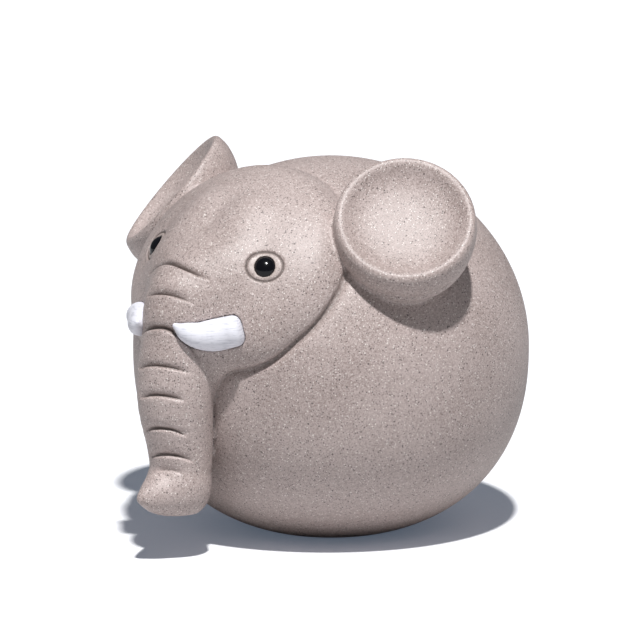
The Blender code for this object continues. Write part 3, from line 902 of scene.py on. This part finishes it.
place = millimetres()
burnish = add("ShaderNodeAttribute", {"attribute_name": "burnish"}).outputs["Fac"]
pressed = add("ShaderNodeAttribute", {"attribute_name": "pressed"}).outputs["Fac"]
tooth = ramp(burnish, 0.0, 1.0, 1.0, BURNISHED_TOOTH)
rubbed = ramp(noise(RUBBED_SCALE), *RUBBED_RANGE)
fine = total(noise(**FINE_NOISE), sand(SAND_SPACING["tone"]), SAND_SHARE["tone"])
tone = total(ramp(fine, *FINE_TO_TONE), rubbed, RUBBED_SHARE)
dark, pale = grains(*DARK_GRAINS), grains(*PALE_GRAINS)
colour = over(CLAY_DEEP, CLAY_PALE, tone)
colour = over(colour, CLAY_BURNISHED, ramp(burnish, 0.0, 1.0, 0.0, BURNISHED_COVER))
for grain_colour, share, cover in (
        (CLAY_DARK_GRAIN, grains(*DARK_SPECKS), GRAIN_COVER),
        (CLAY_PALE_GRAIN, grains(*PALE_SPECKS), PALE_SPECK_COVER),
        (CLAY_DARK_GRAIN, dark, GRAIN_COVER),
        (CLAY_PALE_GRAIN, pale, GRAIN_COVER)):
    colour = over(colour, grain_colour, product(share, product(tooth, cover)))
# Painted shade: the colour darkens in the wrinkles, the eye ovals, the ear arcs and the head's
# join, where shade falls in the grooves.
colour = over(colour, CLAY_PAINTED_SHADE_IN_LINES, ramp(pressed, *LINE_PAINTED_SHADE_RANGE, 0.0, LINE_PAINTED_SHADE))
link(colour, shader.inputs["Base Color"])
shader.inputs["Specular IOR Level"].default_value = CLAY_GLOSS
sandy = ramp(fine, *FINE_TO_ROUGHNESS, *CLAY_ROUGHNESS)
link(product(sandy, ramp(burnish, 0.0, 1.0, 1.0, BURNISHED_ROUGHNESS)),
     shader.inputs["Roughness"])
height = total(total(fine, dark, GRAIN_DENT), pale, GRAIN_RISE)
height = total(height, sand(SAND_SPACING["bump"]), SAND_SHARE["bump"])
bump = add("ShaderNodeBump", Distance=CLAY_BUMP["depth"] * MM, Height=height)
link(product(tooth, CLAY_BUMP["strength"]), bump.inputs["Strength"])
link(bump.outputs[0], shader.inputs["Normal"])

piece = bpy.data.objects.new("clay_figure", skin)
scene.collection.objects.link(piece)
skin.shade_smooth()
tree = pressing_tree()
share = np.linspace(-1.0, 1.0, WRINKLE_POINTS)
fade = 1.0 - np.abs(share) ** 3
wrinkle_object = line_object(
    "wrinkle_lines", wrinkle_lines, [fade * wrinkle[-1] for wrinkle in WRINKLES])
ring_object = line_object(
    "eye_rings", eye_rings, [np.ones(EYE_RING_POINTS)] * len(eye_rings), closed=True)
grow(piece, tree, Lines=wrinkle_object, Depth=MM, Shoulder_above=WRINKLE_ABOVE * MM,
     Shoulder_below=WRINKLE_BELOW * MM, Sharpness=WRINKLE_SHARPNESS, Clay=clay)
grow(piece, tree, Lines=ring_object, Depth=EYE_RING_DEPTH * MM,
     Shoulder_above=EYE_RING_SHOULDER * MM, Shoulder_below=EYE_RING_SHOULDER * MM,
     Sharpness=SCRATCH_SHARPNESS, Clay=clay)
arc_object = line_object(
    "wall_arcs", wall_arcs, [np.full(ARC_POINTS, ARC_BITE)] * len(wall_arcs))
grow(piece, tree, Lines=arc_object, Depth=ARC_DEPTH * MM, Shoulder_above=ARC_SHOULDER * MM,
     Shoulder_below=ARC_SHOULDER * MM, Sharpness=SCRATCH_SHARPNESS, Clay=clay)
for lines in (wrinkle_object, ring_object, arc_object):
    bpy.data.objects.remove(lines)

# Hollow and vent: thick clay bursts in the kiln, so the ball is hollow and breathes through
# a small hole in its base.
HOLLOW_GRAIN = 3.0
VENT_SIDES = 48


def hollow_form(points):
    """Distance to the hollow, one wall's thickness inside the body."""
    return body_form(points) + WALL


hollow_mesh = mesh_of("hollow", *laid_skin(hollow_form, SKIN_LOW, SKIN_HIGH, HOLLOW_GRAIN))
evened(hollow_mesh, hollow_form, rounds=2)
move_points(hollow_mesh, points_of(hollow_mesh) * MM)
shape = bmesh.new()
bmesh.ops.create_cone(
    shape, cap_ends=True, segments=VENT_SIDES, radius1=VENT_RADIUS * MM,
    radius2=VENT_RADIUS * MM, depth=4 * WALL * MM,
    matrix=Matrix.Translation((0.0, VENT_BEHIND_CENTRE * MM, 0.0)))
vent_mesh = bpy.data.meshes.new("vent")
shape.to_mesh(vent_mesh)
shape.free()
for mesh in (hollow_mesh, vent_mesh):
    cutter = bpy.data.objects.new(mesh.name, mesh)
    scene.collection.objects.link(cutter)
    boolean = piece.modifiers.new(mesh.name, "BOOLEAN")
    boolean.operation = "DIFFERENCE"
    boolean.solver = "EXACT"
    boolean.object = cutter
keep_result(piece)
for name in ("hollow", "vent"):
    bpy.data.objects.remove(bpy.data.objects[name])
piece.data.materials.clear()
piece.data.materials.append(clay)
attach(piece, "root")
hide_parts("clay_body")

# Tusks: small rolls of clay laid on the cheeks beside the trunk and painted with thick white
# slip, whose brush strokes run from the root to the tip.
TUSK_GRAIN = 0.2
SLIP_WHITE = (0.81, 0.815, 0.885)
SLIP_SHADE = (0.65, 0.66, 0.73)
SLIP_ROUGHNESS = (0.38, 0.55)
STROKE_SCALE = (0.5, 0.5, 4.2)
STROKE_DETAIL = 3.0
STROKE_TO_COLOUR = (0.36, 0.50)
STROKE_TO_ROUGHNESS = (0.3, 0.7)
STROKE_BUMP = {"depth": 0.08, "strength": 0.6}

slip, shader, add = new_material("white slip")
link = slip.node_tree.links.new
strokes = add("ShaderNodeMapping", Vector=millimetres(), Scale=STROKE_SCALE)
strokes = add("ShaderNodeTexNoise", Vector=strokes.outputs[0], Scale=1.0, Detail=STROKE_DETAIL)
strokes = strokes.outputs[0]
colour = over(SLIP_SHADE, SLIP_WHITE, ramp(strokes, *STROKE_TO_COLOUR))
link(colour, shader.inputs["Base Color"])
link(ramp(strokes, *STROKE_TO_ROUGHNESS, *SLIP_ROUGHNESS), shader.inputs["Roughness"])
bump = add("ShaderNodeBump", Strength=STROKE_BUMP["strength"],
           Distance=STROKE_BUMP["depth"] * MM, Height=strokes)
link(bump.outputs[0], shader.inputs["Normal"])

for name, rows in tusks.items():
    reach = rows[:, 3].max() + 1.0

    def this_tusk(points):
        return tusk_form(points, rows)

    low, high = rows[:, :3].min(axis=0) - reach, rows[:, :3].max(axis=0) + reach
    mesh = mesh_of(f"tusk_{name}", *laid_skin(this_tusk, low, high, TUSK_GRAIN))
    evened(mesh, this_tusk, rounds=3)
    move_points(mesh, points_of(mesh) * MM)
    mesh.shade_smooth()
    mesh.materials.append(slip)
    tusk = bpy.data.objects.new(f"brushed_tusk_{name}", mesh)
    scene.collection.objects.link(tusk)
    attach(tusk, "root")
    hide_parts(f"tusk_{name}")

# Eyes: polished black beads pushed into the clay, each with an oval drawn round it.
BEAD_SEGMENTS = 64
BEAD_RINGS = 32
BEAD_COLOUR = (0.004, 0.004, 0.006)
BEAD_GLOSS = 0.4
BEAD_ROUGHNESS = (0.14, 0.18)
SMEAR_SCALE = 1.5
SMEAR_RANGE = (0.4, 0.7)

bead, shader, add = new_material("polished black bead")
link = bead.node_tree.links.new
place = millimetres()
shader.inputs["Base Color"].default_value = (*BEAD_COLOUR, 1.0)
shader.inputs["Specular IOR Level"].default_value = BEAD_GLOSS
link(ramp(noise(SMEAR_SCALE), *SMEAR_RANGE, *BEAD_ROUGHNESS), shader.inputs["Roughness"])
for name, (middle, axes) in eyes.items():
    shape = bmesh.new()
    bmesh.ops.create_uvsphere(
        shape, u_segments=BEAD_SEGMENTS, v_segments=BEAD_RINGS, radius=1.0,
        matrix=Matrix.Diagonal((*BEAD_HALF_SIZE, 1.0)))
    mesh = bpy.data.meshes.new(f"bead_{name}")
    shape.to_mesh(mesh)
    shape.free()
    points = points_of(mesh) - (0.0, 0.0, BEAD_SINK)
    move_points(mesh, (middle + points @ axes) * MM)
    mesh.shade_smooth()
    mesh.materials.append(bead)
    eye_piece = bpy.data.objects.new(f"polished_bead_{name}", mesh)
    scene.collection.objects.link(eye_piece)
    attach(eye_piece, "root")
    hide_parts(f"eye_bead_{name}")
